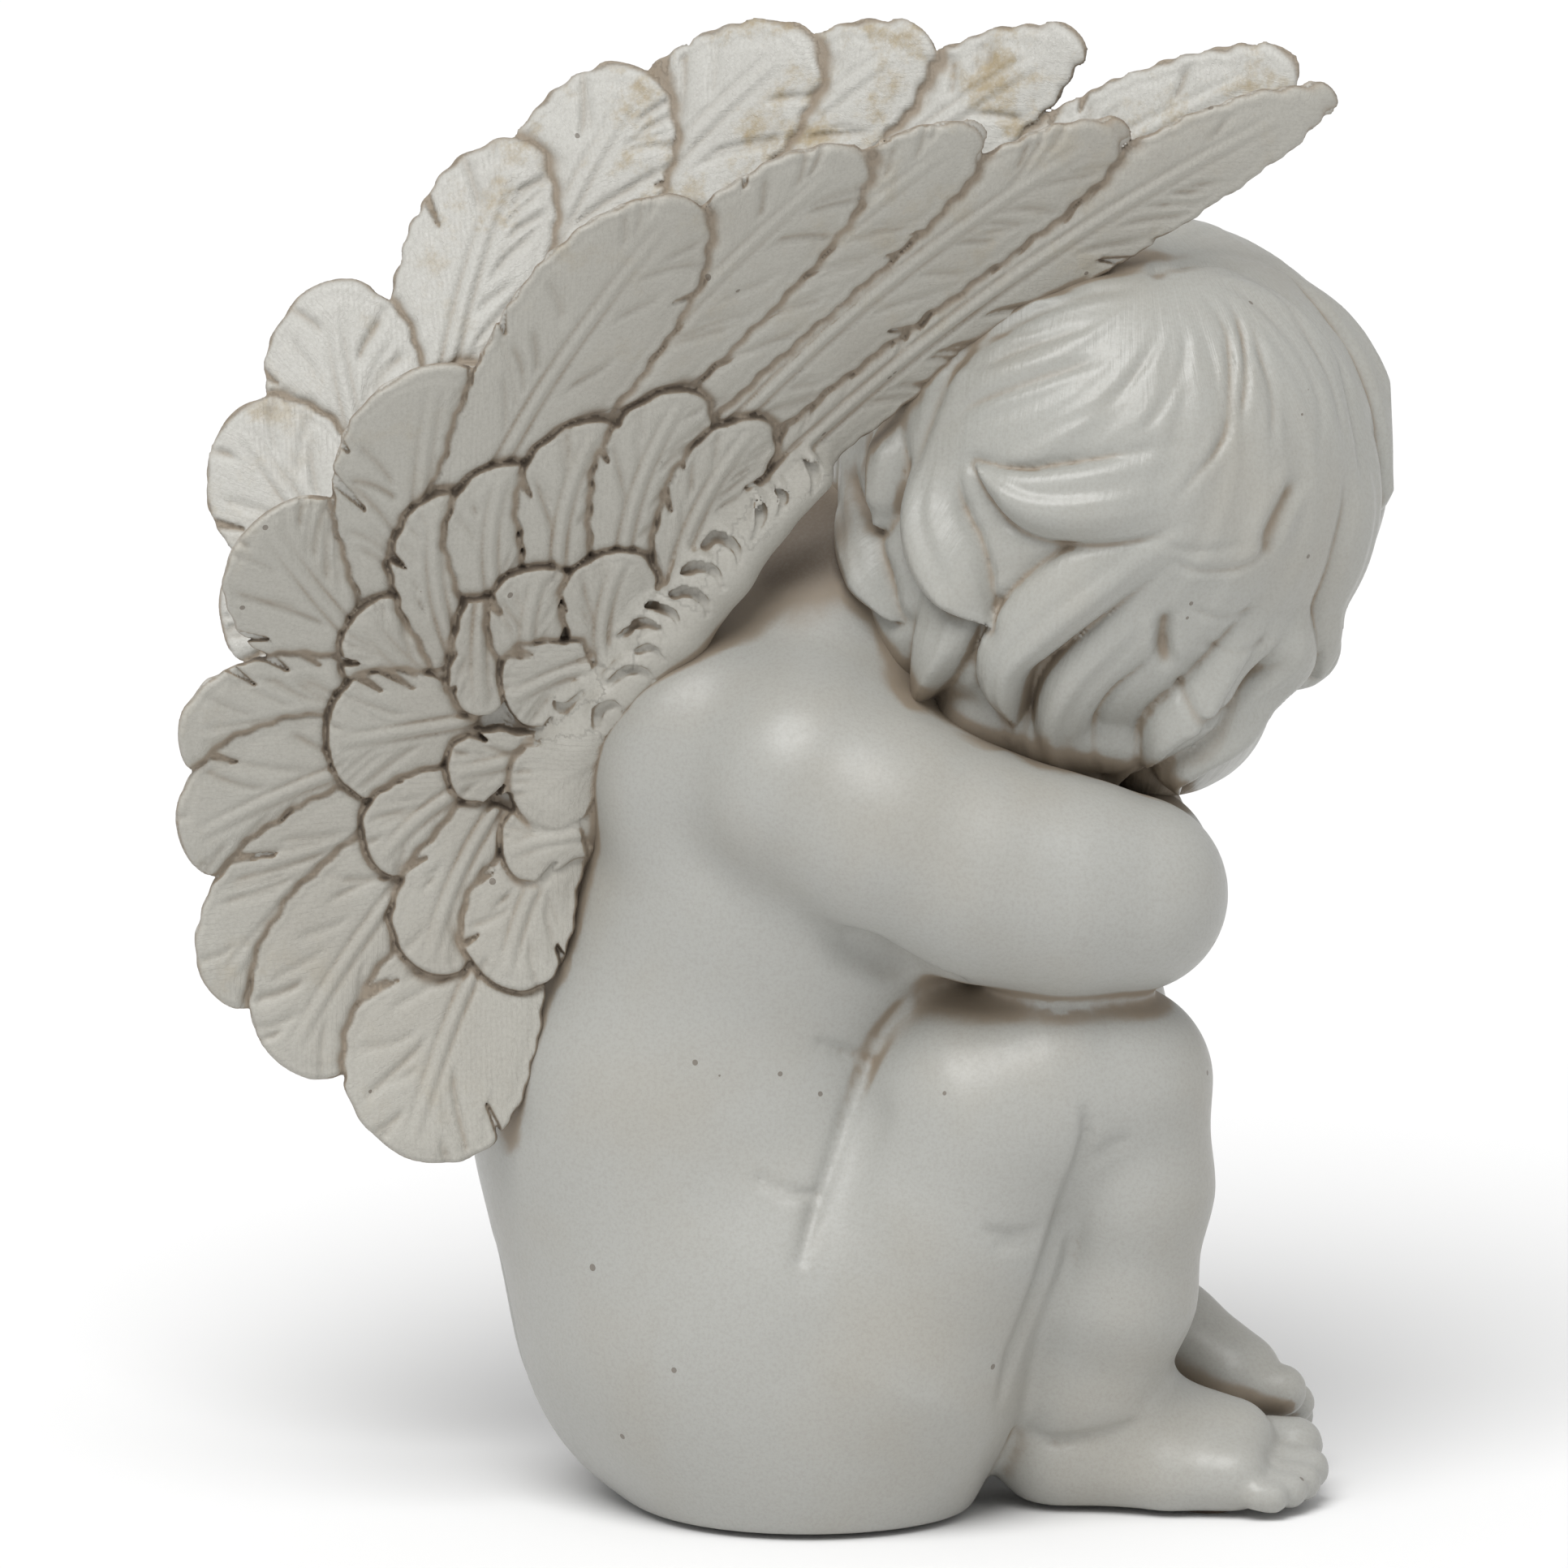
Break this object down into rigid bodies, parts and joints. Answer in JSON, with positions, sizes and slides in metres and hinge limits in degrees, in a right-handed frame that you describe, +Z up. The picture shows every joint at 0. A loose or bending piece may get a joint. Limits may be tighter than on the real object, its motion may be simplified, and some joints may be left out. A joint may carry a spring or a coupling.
{
  "type": "seated angel figurine",
  "caption": "Seated winged cherub hugging its knees, head down on folded arms, in cast resin with an antiqued ivory finish.",
  "frame": {"origin": "on the table plane, under the middle of the figure's bounding box", "axes": "+X is the way the figure faces, +Y is the figure's left, +Z is up"},
  "size_m": [0.2333, 0.1282, 0.2792],
  "materials": {
    "body_resin": "satin",
    "head_resin": "satin",
    "wing_resin": "satin",
    "base_resin": "matte",
    "dowel_steel": "satin",
    "stopper_rubber": "matte",
    "pad_felt": "matte"
  },
  "bodies": {
    "root": {"body_casting": "body_resin", "head_casting": "head_resin", "right_wing": "wing_resin", "left_wing": "wing_resin", "right_wing_dowels": "dowel_steel", "left_wing_dowels": "dowel_steel", "head_dowel": "dowel_steel", "base_disc": "base_resin", "vent_stopper": "stopper_rubber", "seat_pads": "pad_felt", "foot_pads": "pad_felt"}
  },
  "joints": []
}
